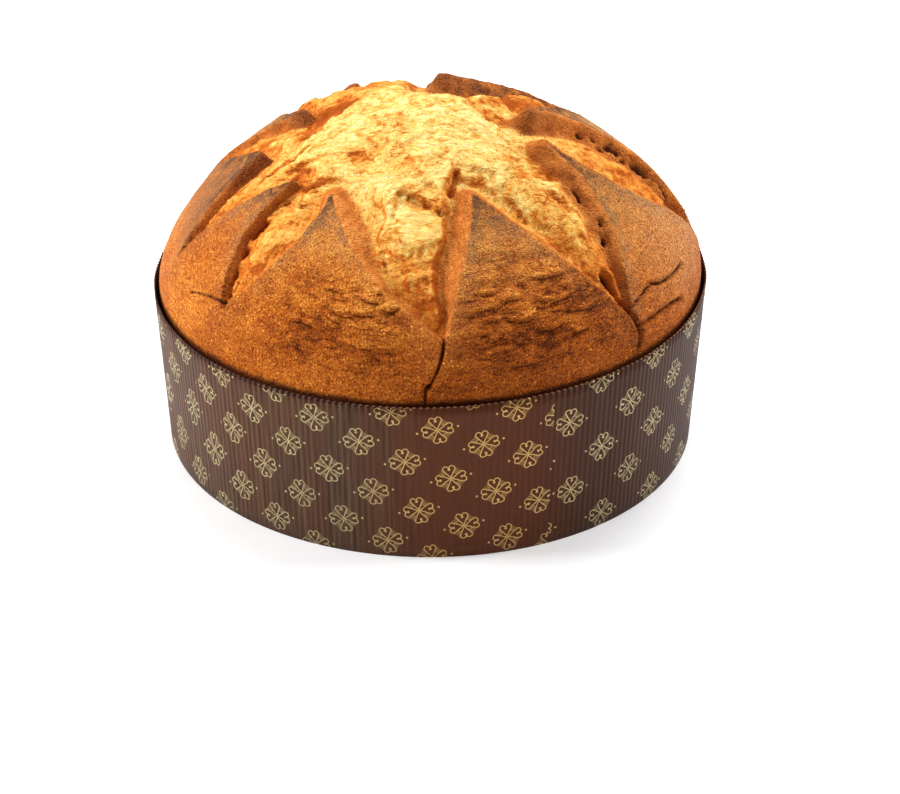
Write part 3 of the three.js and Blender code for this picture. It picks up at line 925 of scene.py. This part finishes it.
def paper_finish():
    finish = Finish("brown_printed_baking_paper")
    place = finish.object_place()
    outside = finish.measure("outside")
    x, y, z = finish.axes(place)
    turn = y.bearing(x)
    arc = turn * MEAN_RADIUS
    # Brown paper with streaks down the flutes: darker at the right, which is painted shade, and warmer at
    # the front right of the middle, which is painted bounce light.
    streak_place = finish.joined(arc * MM, 0.0, z * 0.03)
    streaks = finish.noise(streak_place, 1.3, 3.0, 0.75)
    wide_streaks = finish.noise(streak_place, 9.0, 2.0, 0.5)
    clouds = finish.noise(place, 45.0, 2.0, 0.5)
    paper = finish.mix(streaks.ease(0.32, 0.68), srgb(54, 37, 26), srgb(94, 69, 51))
    paper = finish.mix(wide_streaks.ease(0.4, 0.65) * 0.5, paper, srgb(82, 48, 31))
    paper = finish.mix(clouds.ease(0.35, 0.65) * 0.3, paper, srgb(84, 42, 16))
    # Painted shade: the paper is darker towards the right.
    paper = finish.mix(x.ease(-0.03, 0.05) * 0.75, paper, srgb(52, 26, 14))
    # Painted bounce light: a warm orange tint on the paper and its print at the front, right of the middle.
    painted_bounce_light = x.between(-0.035, 0.005, 0.03, 0.062) * (1 - y.ease(-0.09, 0.0))
    paper = finish.mix(painted_bounce_light * 0.5, paper, srgb(98, 46, 16))
    print_mask = ornament(turn, z * METRE)
    print_tone = finish.mix(streaks.ease(0.35, 0.65), srgb(184, 170, 124), srgb(150, 134, 96))
    print_tone = finish.mix(painted_bounce_light * 0.6, print_tone, srgb(206, 152, 72))
    colour = finish.mix(print_mask * outside.ease(0.4, 0.6), paper, print_tone)
    # The cut edge: toothed, and dark along it, partly a stain where the crust has baked against it and
    # partly painted shadow of the gap.
    teeth = abs((arc * (FLUTES / (2 * math.pi * MEAN_RADIUS))) % 1.0 - 0.5) * 2
    below_rim = WALL_HEIGHT - (z * METRE - x * (SLANT * METRE))
    stain = 0.25 + 1.3 * (1 - x.ease(-0.06, 0.0)) + 0.35 * x.ease(0.06, 0.095)
    rim_stain_and_gap_shade = 1 - (below_rim - teeth * 0.5).ease(stain - 0.15, stain + 0.15)
    pale_edge = (1 - below_rim.ease(0.1, 0.6)) * teeth * x.ease(-0.06, 0.0)
    colour = finish.mix(rim_stain_and_gap_shade * outside.ease(0.2, 0.6) * 0.9, colour, srgb(54, 23, 14))
    colour = finish.mix(pale_edge * 0.7, colour, srgb(176, 122, 84))
    scorched = finish.mix(streaks, srgb(52, 22, 12), srgb(96, 44, 22))
    colour = finish.mix(1 - outside.ease(0.4, 0.6), colour, scorched)
    fibres = finish.noise(place, 0.7, 3.0, 0.6)
    normal = finish.bump(fibres * 0.4 + streaks * 0.6, 0.14, 0.7)
    return finish.surface(
        Base_Color=colour,
        Roughness=0.46 - print_mask * 0.1,
        Metallic=print_mask * 0.5,
        Specular_IOR_Level=0.1,
        Normal=normal,
    )


# The print: a staggered lattice of motifs, turned a little on the sheet. Millimetres and degrees.
PRINT_FRONT = dict(origin=(3.3, 55.4), first=(16.5, -7.1), second=(11.6, 13.8), turn=12.0)
PRINT_BACK = dict(origin=(80.5, 49.8), first=(15.1, -15.4), second=(13.0, 14.4), turn=-4.0)
# The bearings at the two seams between which the front lattice fades in and out
FRONT_SHEET = (95.95, 96.05, 295.45, 295.55)
# At the far left the sheet's upper part is shifted: where that starts, the run over which it grows
# by `DRIFT`, how far it goes on growing, how it grows, and the heights between which it fades in.
DRIFT_START = -41.0
DRIFT_RUN = 51.0
DRIFT_MOST = 1.3
DRIFT_POWER = 1.6
DRIFT = (4.6, 6.7)
DRIFT_HEIGHTS = (8.0, 46.0)
# One motif: its hearts' lobes and lines, and how far out its dots and its rays lie
HEART_REACH = 4.35
HEART_SPREAD = 1.15
HEART_LOBE = 1.25
STROKE = 0.36
DOT_REACH = 7.3
RAY_ENDS = (2.4, 2.8, 4.7, 5.0)
RAY_SPREAD = 0.17
DIAGONAL = 0.7071


def ornament(turn, height):
    """Where the print lies: clusters of four outlined hearts, with short rays and two dots."""
    bearing = (turn * (180 / math.pi)) % 360
    front = bearing.between(*FRONT_SHEET)
    from_front = ((bearing - 270 + 180) % 360 - 180) * (math.pi / 180 * MEAN_RADIUS)
    drift = ((DRIFT_START - from_front) / DRIFT_RUN).most(0.0).least(DRIFT_MOST) ** DRIFT_POWER
    drift = drift * height.ease(*DRIFT_HEIGHTS)
    first = motifs(from_front - drift * DRIFT[0], height - drift * DRIFT[1], **PRINT_FRONT)
    second = motifs(from_front, height, **PRINT_BACK)
    return first * front + second * (1 - front)


def motifs(across, up, origin, first, second, turn):
    """The motif at every place of the lattice from `origin` with the steps `first` and `second`."""
    (ax, ay), (bx, by) = first, second
    area = ax * by - bx * ay
    dx = across - origin[0]
    dy = up - origin[1]
    p = (dx * by - dy * bx) / area
    q = (dy * ax - dx * ay) / area
    p = p - (p + 0.5).floor()
    q = q - (q + 0.5).floor()
    local_x = p * ax + q * bx
    local_y = p * ay + q * by
    c, s = math.cos(math.radians(turn)), math.sin(math.radians(turn))
    u = local_x * c + local_y * s
    v = local_y * c - local_x * s
    return motif(u, v)


def motif(u, v):
    wide = abs(u)
    tall = abs(v)
    # One heart, folded out of the four: `out` runs along its middle and `side` away from it.
    out = wide.most(tall)
    side = wide.least(tall)
    lobe = ((out - HEART_REACH) ** 2 + (side - HEART_SPREAD) ** 2).sqrt() - HEART_LOBE
    lobe_away = math.hypot(HEART_REACH, HEART_SPREAD)
    slope = math.atan2(HEART_SPREAD, HEART_REACH) + math.asin(HEART_LOBE / lobe_away)
    flank = (side * math.cos(slope) - out * math.sin(slope)).most(out - HEART_REACH)
    heart = lobe.least(flank)
    outline = 1 - (abs(heart + STROKE / 2) - STROKE / 2).ease(-0.06, 0.08)
    notch = (side - 0.18).most(abs(out - HEART_REACH - 0.1) - 0.6)
    curl = ((out - HEART_REACH + 0.5) ** 2 + (side - 0.15) ** 2).sqrt() - 0.34
    outline = outline.most(1 - notch.least(curl).ease(-0.06, 0.1))
    along = (u + v) * DIAGONAL
    beside = (v - u) * DIAGONAL
    rays = fan_of_rays(abs(along), abs(beside)).most(fan_of_rays(abs(beside), abs(along)))
    dots = ((wide - DOT_REACH) ** 2 + v**2).sqrt()
    return outline.most(rays).most(1 - dots.ease(0.32, 0.52))


def fan_of_rays(along, beside):
    """Three short rays between two hearts, spreading a little as they leave the middle."""
    outer = abs(beside - along * RAY_SPREAD)
    return along.between(*RAY_ENDS) * (1 - beside.least(outer).ease(0.04, 0.18)) * 0.75


def floor_finish():
    finish = Finish("pale_studio_floor")
    return finish.surface(
        Base_Color=(0.94, 0.94, 0.95, 1.0), Roughness=0.3, Specular_IOR_Level=0.35,
        Emission_Color=WHITE, Emission_Strength=0.22,
    )


def studio_floor():
    bm = bmesh.new()
    bmesh.ops.create_grid(bm, x_segments=1, y_segments=1, size=FLOOR_HALF_WIDTH)
    floor = new_piece("studio_floor", bm, floor_finish(), smooth_faces=False)


def softbox(name, place, size, power):
    light = bpy.data.lights.new(name, "AREA")
    light.shape = "RECTANGLE"
    light.size, light.size_y = size
    light.energy = power
    lamp = bpy.data.objects.new(name, light)
    lamp.location = place
    lamp.rotation_euler = (Vector(LIGHT_AIM) - Vector(place)).to_track_quat("-Z", "Y").to_euler()
    bpy.context.scene.collection.objects.link(lamp)


def studio_light():
    world = bpy.data.worlds.new("soft_studio")
    world.use_nodes = True
    background = world.node_tree.nodes["Background"]
    background.inputs["Color"].default_value = WHITE
    background.inputs["Strength"].default_value = 0.38
    bpy.context.scene.world = world
    softbox("overhead_softbox", (0.1, 0.5, 1.1), (0.8, 0.6), 13.0)
    softbox("left_softbox", (-1.0, -0.05, 0.55), (0.4, 0.6), 13.5)
    softbox("right_softbox", (1.0, 0.1, 0.55), (0.35, 0.6), 8.0)


def photo_camera():
    camera = bpy.data.cameras.new("photo_camera")
    camera.sensor_width = 36.0
    camera.lens = CAMERA_LENS
    camera.clip_start = 0.05
    camera.clip_end = 30.0
    seen = bpy.data.objects.new("photo_camera", camera)
    lift = math.radians(CAMERA_ELEVATION)
    back = Vector((0.0, -math.cos(lift), math.sin(lift)))
    seen.location = (Vector(CAMERA_TARGET) + CAMERA_DISTANCE * back) * MM
    level = Euler((math.pi / 2 - lift, 0.0, 0.0)).to_matrix()
    roll = Euler((0.0, 0.0, math.radians(CAMERA_ROLL))).to_matrix()
    seen.rotation_euler = (level @ roll).to_euler()
    bpy.context.scene.collection.objects.link(seen)
    bpy.context.scene.camera = seen


bpy.context.scene.view_settings.view_transform = "Standard"
photo_camera()
studio_light()
studio_floor()

loaf = loaf_piece(loaf_finish())
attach(loaf, "root")
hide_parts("loaf")

paper_case = paper_case_piece(paper_finish())
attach(paper_case, "root")
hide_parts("paper_case")
